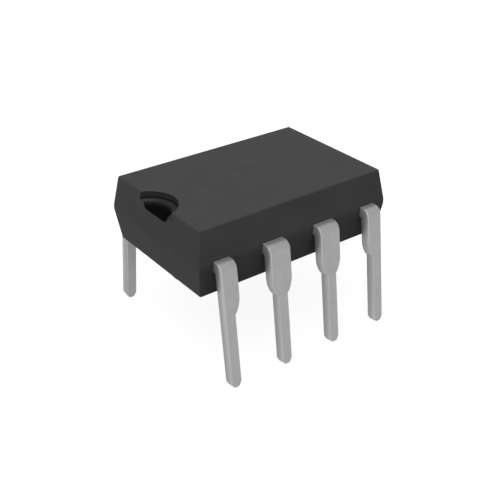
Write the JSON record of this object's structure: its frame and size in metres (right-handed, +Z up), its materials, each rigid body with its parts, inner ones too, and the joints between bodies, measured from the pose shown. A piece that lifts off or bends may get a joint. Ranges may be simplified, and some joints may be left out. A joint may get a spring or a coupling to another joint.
{
  "type": "optocoupler",
  "caption": "Optocoupler in a dual in-line package: a black drafted block with a stepped end notch and tinned leads that lean out along both long sides.",
  "frame": {"origin": "middle of the package on the plane that the lead tips stand on", "axes": "+X along the body away from the notch, +Y across the body from the row of leads 1 to 4 to the row of leads 5 to 8, +Z up from the lead tips to the top face"},
  "size_m": [0.0094, 0.0086, 0.0066],
  "materials": {
    "black_epoxy": "fine matt moulded epoxy",
    "white_epoxy": "translucent white epoxy",
    "clear_silicone": "clear soft silicone",
    "tinned_lead": "matt tin plate on a copper alloy strip",
    "emitter_chip": "sawn compound semiconductor",
    "detector_silicon": "passivated silicon",
    "silver_adhesive": "cured silver-filled epoxy",
    "gold_wire": "drawn gold"
  },
  "bodies": {
    "root": {"outer_moulding": "black_epoxy", "inner_moulding": "white_epoxy", "emitter_gel_coat": "clear_silicone", "emitter_die": "emitter_chip", "emitter_die_attach": "silver_adhesive", "detector_die": "detector_silicon", "detector_die_attach": "silver_adhesive", "lead_1": "tinned_lead", "lead_2": "tinned_lead", "lead_3": "tinned_lead", "lead_4": "tinned_lead", "lead_5": "tinned_lead", "lead_6": "tinned_lead", "lead_7": "tinned_lead", "lead_8": "tinned_lead", "emitter_bond_wire": "gold_wire", "supply_bond_wire": "gold_wire", "enable_bond_wire": "gold_wire", "output_bond_wire": "gold_wire", "ground_bond_wire": "gold_wire"}
  },
  "joints": []
}
